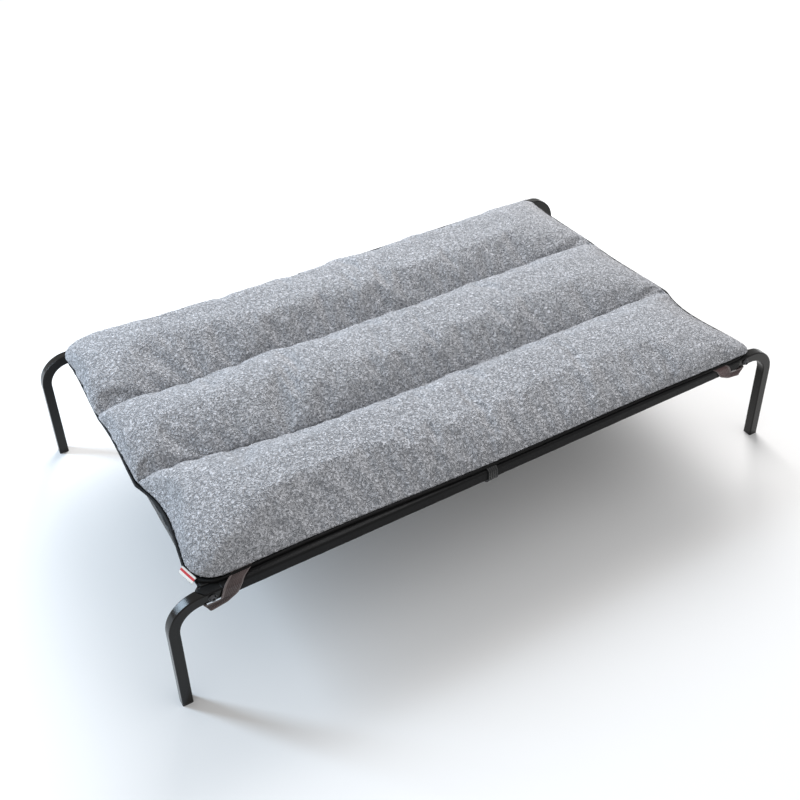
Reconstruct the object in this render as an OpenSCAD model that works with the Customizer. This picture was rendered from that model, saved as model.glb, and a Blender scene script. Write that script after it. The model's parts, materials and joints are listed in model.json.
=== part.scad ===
// Raised dog bed: bent steel frame, stretched cloth deck and a strapped-on quilted fleece pad.
// Origin: centre of the footprint on the floor. X runs along the bed, the front is at -Y, Z is up.

/* [Frame] */
// Length over the corner bends
frame_len = 1105; // [850:5:1400]
// Width over the two side rails
frame_w = 648; // [500:1:850]
// Height of the rails' top face
frame_h = 203; // [150:1:300]
// Width of the square tube
tube = 16.5; // [14:0.5:25]
// Wall thickness of the tube
tube_wall = 1.2; // [1:0.1:1.8]
// Outer corner radius of the tube's section
tube_corner = 2; // [1.9:0.1:3]
// Radius of the corner bends at the tube's centreline
bend_r = 46; // [38:1:55]
// Angle that the legs lean outwards
leg_splay = 2.5; // [0:0.5:5]
// Distance from the bend's outer face to the cross rail's centreline
cross_inset = 69.5; // [66:0.5:90]
// Length of the sleeve that joins two half rails
joiner_len = 120; // [60:5:200]
// Wall thickness of that joining sleeve
joiner_wall = 1.2; // [0.8:0.1:2]
// Thickness of the foot plug's lip on the floor
foot_lip = 3; // [2:0.5:6]
// Depth of the foot plug inside the leg
foot_plug_len = 14; // [8:1:25]

/* [Fasteners] */
// Thread diameter of the corner bolts
bolt_d = 6; // [5:0.5:8]
// Diameter of the bolt's button head
bolt_head_d = 10.5; // [9:0.5:13]
// Height of the bolt's button head
bolt_head_h = 3.3; // [2:0.1:5]
// Width across flats of the hexagon socket
socket_af = 4; // [3:0.5:5]
// Diameter of the washer
washer_d = 12.5; // [12:0.5:16]
// Thickness of the washer
washer_t = 1; // [0.6:0.1:2]
// Depth that the bolt reaches into the cross rail
bolt_grip = 16; // [10:1:25]
// Length of the threaded insert in the cross rail
insert_len = 24; // [18:1:40]

/* [Deck] */
// Thickness of the deck cloth
cloth = 0.9; // [0.5:0.1:1.5]
// Length that the end sleeves hang below the cross rail
sleeve_drop = 18; // [6:1:30]
// Slack of the end sleeve outside the cross rail
sleeve_slack = 9; // [3:0.5:12]
// Width of the end sleeve's seam on the deck behind the cross rail
sleeve_back = 10; // [4:1:30]
// Distance from the cross rail's centreline to the end of the closed part of the side sleeve
sleeve_cut = 14; // [12:1:40]

/* [Pad] */
// Length of the pad
pad_len = 1000; // [700:5:1300]
// Width of the pad
pad_w = 624; // [450:1:830]
// Corner radius of the pad's outline
pad_corner = 24; // [10:1:60]
// Height of each stuffed channel above the base cloth
pad_crown = 58; // [30:1:90]
// Height of the pad at its edges and seams
pad_edge = 18; // [12:1:26]
// Radius that rounds the channel ends
end_round = 28; // [15:1:29]
// Thickness of the fleece and its backing
fleece = 4; // [2:0.5:6]
// Thickness of the base cloth
base_cloth = 1.2; // [0.8:0.1:2]
// Diameter of the piping cord
piping_d = 4.4; // [3:0.1:6]

/* [Straps] */
// Width of the corner straps
strap_w = 32; // [20:1:40]
// Thickness of the webbing
strap_t = 1.2; // [0.8:0.1:2]
// Distance from the middle of the bed to each corner strap's inner edge
strap_x = 435; // [300:1:600]
// Width of the middle ties
tie_w = 17; // [10:1:30]
// Place of the middle ties, to the left of the middle
tie_x = 31; // [0:1:60]
// Length of the side tag
tag_len = 30; // [15:1:50]
// Width of the side tag outside the seam
tag_w = 10; // [6:1:16]
// Place of the side tag, measured from the pad's front edge
tag_y = 24; // [24:1:120]

/* [Hidden] */
$fn = 48;
// Clearances
slip_fit = 0.1;
bolt_clearance = 0.5;
cloth_fit = 0.15;
lay_gap = 0.1;
rail_gap = 0.4;
// Frame
bore = tube - 2 * tube_wall;
bend_x = frame_len / 2 - tube / 2 - bend_r;
rail_z = frame_h - tube / 2;
rail_y = (frame_w - tube) / 2;
rail_inner_y = frame_w / 2 - tube;
bend_z = rail_z - bend_r;
cross_x = frame_len / 2 - cross_inset;
cross_half = rail_inner_y - slip_fit;
leg_len = (bend_z + bend_r) / cos(leg_splay) + tube;
// Cloth
sleeve_out = cloth_fit + cloth;
sleeve_bottom = frame_h - tube - sleeve_out;
sleeve_y = frame_w / 2 + sleeve_out;
panel_half_w = rail_inner_y - sleeve_out;
deck_half = cross_x + tube / 2 + sleeve_slack - cloth;
side_sleeve_half = min(bend_x, deck_half);
sleeve_open_x = cross_x - sleeve_cut;
deck_top = frame_h + sleeve_out;
end_sleeve_z = frame_h - tube - sleeve_drop;
end_back_x = cross_x - tube / 2 - sleeve_back;
end_sleeve_half = panel_half_w - cloth_fit;
// Pad
base_z = deck_top;
fleece_z = base_z + base_cloth;
pitch = pad_w / 3;
rise = pad_crown - pad_edge;
arc_r = (pow(pitch / 2, 2) + rise * rise) / (2 * rise);
piping_r = piping_d / 2;
piping_out = piping_r + lay_gap;
piping_z = base_z + piping_r + lay_gap;

function unit(v) = v / norm(v);

// A square with true round corners
module round_square(w, r) {
    square([w, w - 2 * r], center = true);
    square([w - 2 * r, w], center = true);
    for (x = [-1, 1], y = [-1, 1])
        translate([x * (w / 2 - r), y * (w / 2 - r)]) circle(r);
}

module tube_section(w, wall, r) {
    difference() {
        round_square(w, r);
        round_square(w - 2 * wall, r - wall);
    }
}

// Extrudes a section along +X, centred on the middle of the length
module along_x(len) {
    rotate([90, 0, 90]) linear_extrude(len, center = true) children();
}

module along_y(len) {
    rotate([90, 0, 0]) linear_extrude(len, center = true) children();
}

module mirror_to(sx, sy) {
    scale_x = sx > 0 ? 0 : 1;
    scale_y = sy > 0 ? 0 : 1;
    mirror([scale_x, 0, 0]) mirror([0, scale_y, 0]) children();
}

// ---- Frame ----

// Carries its children to the rear right bend's centre, with the leg's end of the bend along X
module at_bend() {
    translate([bend_x, rail_y, bend_z]) rotate([90, 0, 0]) rotate([0, 0, leg_splay]) children();
}

// The rear right leg's straight run below the bend
module leg_run(len) {
    at_bend() translate([bend_r, 0, 0]) rotate([90, 0, 0]) linear_extrude(len) children();
}

module below(z) {
    translate([0, 0, z - frame_h]) cube(2 * [frame_len, frame_w, frame_h], center = true);
}

// The rear right half rail: straight rail, bend and leg in one piece of tube
module half_rail() {
    difference() {
        union() {
            translate([(bend_x + rail_gap) / 2, rail_y, rail_z])
                along_x(bend_x - rail_gap) tube_section(tube, tube_wall, tube_corner);
            at_bend() rotate_extrude(angle = 90 - leg_splay) translate([bend_r, 0])
                tube_section(tube, tube_wall, tube_corner);
            leg_run(leg_len) tube_section(tube, tube_wall, tube_corner);
        }
        below(foot_lip);
        translate([cross_x, rail_y, rail_z]) rotate([90, 0, 0])
            cylinder(h = 2 * tube, d = bolt_d + bolt_clearance, center = true);
    }
}

module front_left_rail() { color([0.11, 0.11, 0.1]) mirror_to(-1, -1) half_rail(); }
module front_right_rail() { color([0.11, 0.11, 0.1]) mirror_to(1, -1) half_rail(); }
module rear_left_rail() { color([0.11, 0.11, 0.1]) mirror_to(-1, 1) half_rail(); }
module rear_right_rail() { color([0.11, 0.11, 0.1]) mirror_to(1, 1) half_rail(); }

module rail_joiner(side) {
    translate([0, side * rail_y, rail_z]) along_x(joiner_len)
        tube_section(bore - 2 * slip_fit, joiner_wall, joiner_wall + 0.2);
}

module front_rail_joiner() { color("dimgray") rail_joiner(-1); }
module rear_rail_joiner() { color("dimgray") rail_joiner(1); }

module cross_rail(side) {
    translate([side * cross_x, 0, rail_z]) along_y(2 * cross_half)
        tube_section(tube, tube_wall, tube_corner);
}

module left_cross_rail() { color([0.13, 0.13, 0.13]) cross_rail(-1); }
module right_cross_rail() { color([0.13, 0.13, 0.13]) cross_rail(1); }

// The rear right foot plug: a lip under the leg and a plug inside it
module foot_plug() {
    difference() {
        union() {
            intersection() {
                leg_run(leg_len) round_square(tube, tube_corner);
                below(foot_lip);
            }
            intersection() {
                leg_run(leg_len) square(bore - 2 * slip_fit - tube_wall / 2, center = true);
                below(foot_lip + foot_plug_len);
            }
        }
        below(0);
    }
}

module front_left_foot_plug() { color("black") mirror_to(-1, -1) foot_plug(); }
module front_right_foot_plug() { color("black") mirror_to(1, -1) foot_plug(); }
module rear_left_foot_plug() { color("black") mirror_to(-1, 1) foot_plug(); }
module rear_right_foot_plug() { color("black") mirror_to(1, 1) foot_plug(); }

// Places its children on the bolt's axis at each corner, pointing out of the frame along +Z
module at_each_bolt() {
    for (sx = [-1, 1], sy = [-1, 1])
        translate([sx * cross_x, sy * frame_w / 2, rail_z]) rotate([-sy * 90, 0, 0]) children();
}

module rail_inserts() {
    color("gray") at_each_bolt() translate([0, 0, -tube - slip_fit - insert_len])
        difference() {
            linear_extrude(insert_len) round_square(bore - 2 * slip_fit, tube_corner - tube_wall);
            translate([0, 0, -1]) cylinder(h = insert_len + 2, d = bolt_d + 0.1);
        }
}

module corner_bolts() {
    color([0.2, 0.2, 0.2]) at_each_bolt() {
        translate([0, 0, -tube - bolt_grip])
            cylinder(h = tube + bolt_grip + washer_t + bolt_head_h / 4, d = bolt_d);
        translate([0, 0, washer_t]) difference() {
            cylinder(h = bolt_head_h, d1 = bolt_head_d, d2 = bolt_head_d - 2.6);
            translate([0, 0, bolt_head_h / 2])
                cylinder(h = bolt_head_h, d = socket_af / cos(30), $fn = 6);
        }
    }
}

module bolt_washers() {
    color([0.2, 0.2, 0.2]) at_each_bolt() difference() {
        cylinder(h = washer_t, d = washer_d);
        translate([0, 0, -1]) cylinder(h = washer_t + 2, d = bolt_d + 0.4);
    }
}

// ---- Deck ----

module deck_panel() {
    color([0.08, 0.08, 0.08]) translate([0, 0, frame_h + cloth_fit + cloth / 2])
        cube([2 * deck_half, 2 * panel_half_w, cloth], center = true);
}

// The rear side sleeve. Past each cross rail only its top flap goes on, so the bolts are free
module side_sleeve() {
    flap = side_sleeve_half - sleeve_open_x;
    difference() {
        translate([0, rail_y, rail_z]) along_x(2 * side_sleeve_half)
            tube_section(tube + 2 * sleeve_out, cloth, tube_corner + sleeve_out);
        for (sx = [-1, 1])
            translate([sx * (sleeve_open_x + flap), rail_y, frame_h - 2 * tube])
                cube([2 * flap, 2 * tube, 4 * tube], center = true);
    }
}

module front_deck_sleeve() { color([0.08, 0.08, 0.08]) mirror_to(1, -1) side_sleeve(); }
module rear_deck_sleeve() { color([0.08, 0.08, 0.08]) side_sleeve(); }

// Outline of the right end sleeve, a loose loop of cloth round the cross rail
module end_loop(inset) {
    top = frame_h + cloth_fit;
    out = deck_half + cloth - inset;
    low = end_sleeve_z + inset;
    back = end_back_x + inset;
    foot_w = tube / 3;
    polygon([[back, top], [back + inset, rail_z], [cross_x - foot_w + inset, low],
        [cross_x + foot_w - inset, low], [out, rail_z - tube / 2], [out, rail_z + tube / 4],
        [out, top]]);
}

module end_sleeve(side) {
    mirror_to(side, 1) along_y(2 * end_sleeve_half) difference() {
        end_loop(0);
        end_loop(cloth);
    }
}

module left_deck_sleeve() { color([0.08, 0.08, 0.08]) end_sleeve(-1); }
module right_deck_sleeve() { color([0.08, 0.08, 0.08]) end_sleeve(1); }

// ---- Pad ----

module pad_outline() {
    square([pad_len, pad_w - 2 * pad_corner], center = true);
    square([pad_len - 2 * pad_corner, pad_w], center = true);
    for (x = [-1, 1], y = [-1, 1])
        translate([x * (pad_len / 2 - pad_corner), y * (pad_w / 2 - pad_corner)]) circle(pad_corner);
}

// The stuffed part's outline, with its corners cut straight inside the round ones
module stuffed_outline(inset) {
    x = pad_len / 2 - inset;
    y = pad_w / 2 - inset;
    c = pad_corner;
    polygon([[x - c, -y], [x, c - y], [x, y - c], [x - c, y], [c - x, y], [-x, y - c],
        [-x, c - y], [c - x, -y]]);
}

// Section of one channel: a flat base, short side walls and an arched top
module channel_section(inset) {
    intersection() {
        translate([0, pad_crown - arc_r]) circle(arc_r - inset, $fn = 96);
        translate([-pitch / 2 + inset, 0]) square([pitch - 2 * inset, pad_crown]);
    }
}

// Side view of a channel: the top corners are rounded
module end_section(inset) {
    half = pad_len / 2 - inset;
    top = pad_crown - inset;
    translate([-half, 0]) square([2 * half, top - end_round]);
    translate([-half + end_round, 0]) square([2 * (half - end_round), top]);
    for (x = [-1, 1]) translate([x * (half - end_round), top - end_round]) circle(end_round);
}

module channel(row, inset) {
    intersection() {
        translate([0, row * pitch, fleece_z]) along_x(pad_len) channel_section(inset);
        translate([0, row * pitch, fleece_z]) along_y(pitch) end_section(inset);
        translate([0, 0, fleece_z]) linear_extrude(pad_crown) stuffed_outline(inset);
    }
}

module pad_base() {
    color([0.07, 0.07, 0.07]) translate([0, 0, base_z]) linear_extrude(base_cloth) pad_outline();
}

module pad_fleece() {
    color([0.7, 0.75, 0.82]) difference() {
        for (row = [-1:1]) channel(row, 0);
        for (row = [-1:1]) channel(row, fleece);
    }
}

module front_filling() { color("white") channel(-1, fleece); }
module middle_filling() { color("white") channel(0, fleece); }
module rear_filling() { color("white") channel(1, fleece); }

// A cord sewn round the pad where the fleece meets the base cloth
module pad_piping() {
    r = pad_corner + piping_out;
    cx = pad_len / 2 - pad_corner;
    cy = pad_w / 2 - pad_corner;
    color([0.06, 0.06, 0.06]) translate([0, 0, piping_z]) {
        for (s = [-1, 1]) {
            translate([0, s * (cy + r), 0]) along_x(2 * cx) circle(piping_r);
            translate([s * (cx + r), 0, 0]) along_y(2 * cy) circle(piping_r);
        }
        for (k = [0:3]) mirror([k % 2, 0, 0]) mirror([0, k > 1 ? 1 : 0, 0])
            translate([cx, cy, 0]) rotate_extrude(angle = 90) translate([r, 0]) circle(piping_r);
    }
}

// ---- Straps ----

// A flat band through pairs of edge points a[i] and b[i]
module ribbon(a, b, t) {
    n = len(a);
    mid = [for (i = [0:n - 1]) (a[i] + b[i]) / 2];
    nrm = [for (i = [0:n - 1])
        unit(cross(b[i] - a[i], mid[min(i + 1, n - 1)] - mid[max(i - 1, 0)])) * t / 2];
    pts = [for (i = [0:n - 1]) each [a[i] - nrm[i], b[i] - nrm[i], b[i] + nrm[i], a[i] + nrm[i]]];
    sides = [for (i = [0:n - 2], k = [0:3]) let (p = 4 * i + k, q = 4 * i + (k + 1) % 4)
        each [[p, q, q + 4], [p, q + 4, p + 4]]];
    e = 4 * (n - 1);
    polyhedron(pts, concat(sides, [[2, 1, 0], [3, 2, 0]], [[e, e + 1, e + 2], [e, e + 2, e + 3]]));
}

// The rear right strap: from the pad's side seam, over the rail, under the corner and up the end
module corner_strap() {
    seam_y = pad_w / 2 + 2 * piping_out;
    top = deck_top + lay_gap + strap_t / 2;
    out_y = sleeve_y + lay_gap + strap_t / 2;
    under = end_sleeve_z - lay_gap - strap_t;
    out_x = deck_half + cloth + lay_gap + strap_t / 2;
    lean = strap_w / 2;
    inner = strap_x;
    outer = strap_x + strap_w;
    a = [[inner, seam_y, top], [inner + 2, out_y, top], [inner + lean, out_y, sleeve_bottom - 2],
        [inner + 1.6 * lean, out_y - 10, under], [out_x - 4, panel_half_w - 52, under],
        [out_x, panel_half_w - 52, under + 6], [out_x, panel_half_w - 62, frame_h]];
    b = [[outer, seam_y, top], [outer + 2, out_y, top], [outer + lean - 4, out_y, sleeve_bottom - 2],
        [outer + 1.6 * lean, out_y - 6, under], [out_x - 4, panel_half_w - 20, under],
        [out_x, panel_half_w - 20, under + 6], [out_x, panel_half_w - 30, frame_h]];
    ribbon(a, b, strap_t);
}

module front_left_strap() { color([0.37, 0.32, 0.33]) mirror_to(-1, -1) corner_strap(); }
module front_right_strap() { color([0.37, 0.32, 0.33]) mirror_to(1, -1) corner_strap(); }
module rear_left_strap() { color([0.37, 0.32, 0.33]) mirror_to(-1, 1) corner_strap(); }
module rear_right_strap() { color([0.37, 0.32, 0.33]) mirror_to(1, 1) corner_strap(); }

// The rear tie: from the pad's seam over and under the rail, with its folded end below
module middle_tie() {
    half = tie_w / 2;
    seam_y = pad_w / 2 + 2 * piping_out;
    top = deck_top + lay_gap + strap_t / 2;
    out_y = sleeve_y + lay_gap + strap_t / 2;
    low = sleeve_bottom - lay_gap - strap_t / 2;
    in_y = panel_half_w - lay_gap - strap_t / 2;
    path = [[seam_y, top], [out_y, top], [out_y, low], [in_y, low], [in_y, frame_h - cloth_fit]];
    ribbon([for (p = path) [-tie_x - half, p[0], p[1]]], [for (p = path) [-tie_x + half, p[0], p[1]]],
        strap_t);
    translate([-tie_x, rail_y, low - 1.5 * strap_t]) cube([tie_w, tube * 0.6, 3 * strap_t], center = true);
}

module front_middle_tie() { color([0.1, 0.1, 0.1]) mirror_to(1, -1) middle_tie(); }
module rear_middle_tie() { color([0.1, 0.1, 0.1]) middle_tie(); }

module side_tag() {
    color("white") translate([-pad_len / 2 - 2 * piping_out - tag_w, -pad_w / 2 + tag_y, piping_z])
        cube([tag_w, tag_len, 0.8]);
}

front_left_rail();
front_right_rail();
rear_left_rail();
rear_right_rail();
front_rail_joiner();
rear_rail_joiner();
left_cross_rail();
right_cross_rail();
front_left_foot_plug();
front_right_foot_plug();
rear_left_foot_plug();
rear_right_foot_plug();
rail_inserts();
corner_bolts();
bolt_washers();
deck_panel();
front_deck_sleeve();
rear_deck_sleeve();
left_deck_sleeve();
right_deck_sleeve();
pad_base();
pad_fleece();
front_filling();
middle_filling();
rear_filling();
pad_piping();
front_left_strap();
front_right_strap();
rear_left_strap();
rear_right_strap();
front_middle_tie();
rear_middle_tie();
side_tag();
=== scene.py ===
"""Raised dog bed: a bent steel frame, a stretched cloth deck and a strapped-on fleece pad."""

import json
import math

import bpy
from bpy.props import FloatProperty, FloatVectorProperty, IntProperty, PointerProperty
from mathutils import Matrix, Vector, noise


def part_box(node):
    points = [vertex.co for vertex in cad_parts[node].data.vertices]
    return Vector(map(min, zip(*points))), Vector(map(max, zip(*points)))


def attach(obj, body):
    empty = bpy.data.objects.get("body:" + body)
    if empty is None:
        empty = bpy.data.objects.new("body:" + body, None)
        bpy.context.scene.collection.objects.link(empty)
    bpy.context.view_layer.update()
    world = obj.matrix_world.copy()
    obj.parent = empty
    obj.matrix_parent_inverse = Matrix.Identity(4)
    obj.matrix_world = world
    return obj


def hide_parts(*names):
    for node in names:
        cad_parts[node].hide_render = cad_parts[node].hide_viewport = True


bl_info = {
    "name": "Raised Dog Bed",
    "version": (1, 0, 0),
    "blender": (4, 5, 0),
    "location": "View3D > Sidebar > Dog Bed",
    "description": "Builds the pad, the cloth deck and the straps round the bed's steel frame",
    "category": "Add Mesh",
}

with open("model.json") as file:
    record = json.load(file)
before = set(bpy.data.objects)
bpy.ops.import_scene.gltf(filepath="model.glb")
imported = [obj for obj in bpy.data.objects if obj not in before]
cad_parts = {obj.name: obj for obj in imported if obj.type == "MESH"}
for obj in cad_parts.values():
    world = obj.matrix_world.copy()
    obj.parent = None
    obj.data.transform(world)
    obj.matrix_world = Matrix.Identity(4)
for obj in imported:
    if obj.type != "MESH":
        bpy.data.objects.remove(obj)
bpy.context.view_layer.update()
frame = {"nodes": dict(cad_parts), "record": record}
MM = 0.001
CORNERS = {
    "front_left": (-1, -1),
    "front_right": (1, -1),
    "rear_left": (-1, 1),
    "rear_right": (1, 1),
}
LIGHTS = {  # place, width and height, and colour, in metres
    "key": ((-2.05, 1.50, 1.45), (0.5, 1.9), (0.66, 0.83, 1.0)),
    "top": ((1.3, 1.7, 2.0), (1.8, 1.8), (1.0, 0.985, 0.98)),
    "fill": ((1.6, -2.2, 1.6), (1.8, 1.8), (1.0, 0.96, 0.92)),
}
LIT_PLACE = Vector((0.0, 0.0, 0.2))
CAMERA_PLACE = (-0.68577, -1.23977, 1.27076)
CAMERA_TURN = (50.362, 1.777, -30.176)
CAMERA_LENS = 46.256
CAMERA_SENSOR = 36.0


# ---- Sizes and colours that a user would change ----

def length(name, description, default, low=0.0, high=1.0):
    """A length in metres."""
    return FloatProperty(name=name, description=description, default=default, min=low, max=high,
                         unit="LENGTH", precision=4)


def factor(name, description, default, high=1.0):
    """A share of something, from 0 to high."""
    return FloatProperty(name=name, description=description, default=default, min=0.0, max=high,
                         subtype="FACTOR")


def power(name, description, default):
    """The power of a light in watts."""
    return FloatProperty(name=name, description=description, default=default, unit="POWER")


def colour(name, description, default):
    """A linear colour."""
    return FloatVectorProperty(name=name, description=description, default=default, size=3,
                               min=0.0, max=1.0, subtype="COLOR")


class BedPadSettings(bpy.types.PropertyGroup):
    crown: length("Crown", "Height of the stuffed channels above the base cloth", 0.053)
    seam_lift: length("Seam lift", "Height of the stitched seams above the base cloth", 0.004)
    end_round: length("End rounding", "Length over which a channel falls to its left end", 0.064)
    worn_round: length("Worn end", "Length over which a channel falls to its right end", 0.155)
    settle: factor("Settling", "Share of the crown's height lost where it is lain on", 0.24, 0.6)
    drawn_in: length("Drawn in", "How far the right end is drawn in towards the rear", 0.010)
    cover_corner: length("Cover corner", "Radius of the fleece's corners in plan", 0.044)
    worn_corner: length("Worn corner", "Radius of the fleece's right corners in plan", 0.020)
    overhang: length("Overhang", "How far the front channel leans out on the right", 0.014)
    end_bow: length("End bow", "How far the front channel's ends are drawn in", 0.0155)
    skew: length("Skew", "How far the front seam runs back at its left end", 0.030)
    bulge: length("Bulge", "How far the other channels stand out over their left ends", 0.010)
    end_notch: length("End notch", "How far the fleece pulls in at the end of a seam", 0.0015)
    swell: length("Swell", "Most that a point moves as the channels are filled", 0.016)
    pile: length("Pile", "Height of the fleece's curls", 0.0013)
    curl: length("Curl", "Size of one curl of the fleece", 0.0031)
    piping: length("Piping", "Diameter of the cord at the pad's edge", 0.0052)
    light: colour("Curl tips", "Colour of the curl tips", (0.64, 0.65, 0.69))
    # Painted shade: the darker colour painted into the gaps between the curls.
    gap_shade: colour("Curl gaps", "Colour between the curls", (0.20, 0.207, 0.225))


class BedDeckSettings(bpy.types.PropertyGroup):
    cloth: length("Cloth", "Thickness of the deck cloth", 0.0009)
    hem_lift: factor("Hem lift", "Share of an end sleeve's hang that is drawn up", 0.55)
    ripple: length("Ripple", "Height of the cloth's ripples", 0.0006)
    stitch: length("Stitch", "Length of one stitch", 0.0034)
    tint: colour("Deck cloth", "Colour of the deck cloth", (0.0035, 0.0035, 0.0037))
    base_tint: colour("Base cloth", "Colour of base cloth and piping", (0.0028, 0.0028, 0.003))


class BedStrapSettings(bpy.types.PropertyGroup):
    thickness: length("Thickness", "Thickness of the webbing", 0.0013)
    rib: length("Rib", "Height of the webbing's lengthwise ribs", 0.00032)
    ribs: IntProperty(name="Ribs", description="Lengthwise ribs across a strap", default=9, min=3,
                      max=20)
    tag_width: length("Tag width", "How far the side tag stands out of its seam", 0.0080)
    slip: length("Slip", "How far the right straps sit nearer the middle", 0.026)
    tint: colour("Strap", "Colour of the corner straps", (0.066, 0.047, 0.047))
    edge_tint: colour("Strap edge", "Colour of the straps' bound edges", (0.15, 0.123, 0.12))
    tie_tint: colour("Tie", "Colour of the middle ties", (0.013, 0.013, 0.013))
    tag_tint: colour("Tag", "Colour of the side tag", (0.80, 0.78, 0.74))
    band_tint: colour("Tag band", "Colour of the band on the tag", (0.55, 0.035, 0.04))


class BedFrameSettings(bpy.types.PropertyGroup):
    coat: colour("Frame coat", "Colour of the powder coat", (0.0050, 0.0046, 0.0040))
    coat_gloss: factor("Coat roughness", "Roughness of the powder coat", 0.18)
    zinc: colour("Zinc", "Colour of the black zinc-plated fasteners", (0.10, 0.10, 0.105))


class BedStageSettings(bpy.types.PropertyGroup):
    floor: colour("Floor", "Colour of the floor", (0.86, 0.86, 0.86))
    room: FloatProperty(name="Room light", description="Strength of the even light", default=0.66)
    key: power("Key light", "Power of the tall light at the rear left", 62.0)
    top: power("Top light", "Power of the large light above the rear right", 82.0)
    fill: power("Fill light", "Power of the light in front", 4.0)


# ---- Modelling helpers ----

def deselect_all():
    """Leaves object mode with nothing selected."""
    if bpy.context.mode != "OBJECT":
        bpy.ops.object.mode_set(mode="OBJECT")
    bpy.ops.object.select_all(action="DESELECT")


def make_active(piece):
    """Selects one piece alone."""
    deselect_all()
    piece.select_set(True)
    bpy.context.view_layer.objects.active = piece


def named(name):
    """Names the piece that was just added."""
    piece = bpy.context.object
    piece.name = name
    piece.data.name = name
    return piece


def strip(name, columns, rows, place, width=1.0, run=1.0):
    """A grid laid by place(u, v), both from 0 to 1, with its UV map in metres."""
    deselect_all()
    bpy.ops.mesh.primitive_grid_add(x_subdivisions=columns, y_subdivisions=rows, size=1.0)
    piece = named(name)
    for vertex in piece.data.vertices:
        u = round((vertex.co.x + 0.5) * columns) / columns
        v = round((vertex.co.y + 0.5) * rows) / rows
        vertex.co = place(u, v)
    for corner in piece.data.uv_layers.active.data:
        corner.uv = (corner.uv[0] * width, corner.uv[1] * run)
    return piece


def apply_modifier(piece, kind, **settings):
    """Adds a modifier, sets it up and applies it."""
    make_active(piece)
    bpy.ops.object.modifier_add(type=kind)
    modifier = piece.modifiers[-1]
    for name, value in settings.items():
        setattr(modifier, name, value)
    bpy.ops.object.modifier_apply(modifier=modifier.name)


def thicken(piece, thickness):
    """Gives a sheet its thickness, half to each side, and closes its rim."""
    apply_modifier(piece, "SOLIDIFY", thickness=thickness, offset=0.0, use_even_offset=False)


def open_mesh(piece, action="DESELECT"):
    """Opens one piece for editing, with nothing or, for SELECT, all of it selected."""
    make_active(piece)
    bpy.ops.object.mode_set(mode="EDIT")
    bpy.ops.mesh.select_all(action=action)


def finish_mesh(piece, weld=0.0):
    """Joins doubles, turns all faces outwards and shades the piece smooth."""
    open_mesh(piece, "SELECT")
    if weld:
        bpy.ops.mesh.remove_doubles(threshold=weld)
    bpy.ops.mesh.normals_make_consistent(inside=False)
    bpy.ops.object.mode_set(mode="OBJECT")
    bpy.ops.object.shade_smooth()


def declare(piece, nodes, surface):
    """Gives a piece its material, its body and the CAD nodes that it stands for."""
    piece.data.materials.clear()
    piece.data.materials.append(surface)
    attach(piece, "root")
    if nodes:
        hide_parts(*nodes)


def smooth_path(points, t):
    """The point at t, from 0 to 1, on a smooth curve through the points."""
    spans = len(points) - 1
    at = min(t * spans, spans - 1e-9)
    i = int(at)
    f = at - i
    before = points[max(i - 1, 0)]
    start = points[i]
    end = points[i + 1]
    after = points[min(i + 2, spans)]
    return 0.5 * ((2 * start) + (end - before) * f
                  + (2 * before - 5 * start + 4 * end - after) * f * f
                  + (3 * start - before - 3 * end + after) * f * f * f)


def offsets(*rows):
    """Points that each lie some millimetres, along each axis, from a base point."""
    return [Vector([at + way * MM for at, way in zip(base, ways)]) for base, *ways in rows]


def ripple(point, size, height):
    """A smooth unevenness, the same at each run."""
    return height * noise.noise(point / size)


# ---- Materials ----

def node(tree, kind, inputs=None, **attributes):
    """Adds a shader node. An input is a value or the socket that feeds it."""
    made = tree.nodes.new("ShaderNode" + kind)
    for name, value in attributes.items():
        setattr(made, name, value)
    for key, value in (inputs or {}).items():
        if isinstance(value, bpy.types.NodeSocket):
            tree.links.new(value, made.inputs[key])
        else:
            made.inputs[key].default_value = value
    return made


def math_node(tree, operation, a, b=0.0):
    return node(tree, "Math", {0: a, 1: b}, operation=operation).outputs[0]


def plus(tree, a, b):
    return math_node(tree, "ADD", a, b)


def minus(tree, a, b):
    return math_node(tree, "SUBTRACT", a, b)


def times(tree, a, b):
    return math_node(tree, "MULTIPLY", a, b)


def vector_node(tree, operation, inputs):
    return node(tree, "VectorMath", inputs, operation=operation).outputs[0]


def waves(tree, vector, thread, direction):
    """Parallel threads of the given width."""
    scale = math.pi / 10.0 / thread
    return node(tree, "TexWave", {"Vector": vector, "Scale": scale},
                bands_direction=direction).outputs["Fac"]


def mix_colour(tree, factor, a, b):
    return node(tree, "Mix", {0: factor, 6: a, 7: b}, data_type="RGBA").outputs[2]


def ramp(tree, factor, stops):
    """A colour ramp through (place, grey value) stops."""
    made = node(tree, "ValToRGB", {"Fac": factor})
    elements = made.color_ramp.elements
    while len(elements) < len(stops):
        elements.new(0.5)
    for element, (place, value) in zip(elements, stops):
        element.position = place
        element.color = (value, value, value, 1.0)
    return made.outputs["Color"]


def new_material(name, roughness, **sockets):
    """An empty principled material; sockets are plain values for the shader's own inputs."""
    material = bpy.data.materials.new(name)
    material.use_nodes = True
    shader = material.node_tree.nodes["Principled BSDF"]
    shader.inputs["Roughness"].default_value = roughness
    for key, value in sockets.items():
        shader.inputs[key.replace("_", " ")].default_value = value
    return material, material.node_tree


def rgba(value, share=1.0):
    return (value[0] * share, value[1] * share, value[2] * share, 1.0)


def object_coordinates(tree):
    return node(tree, "TexCoord").outputs["Object"]


def noise_value(tree, vector, scale, detail=2.0, distortion=0.0):
    return node(tree, "TexNoise", {"Vector": vector, "Scale": scale, "Detail": detail,
                                   "Distortion": distortion}).outputs["Fac"]


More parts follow.
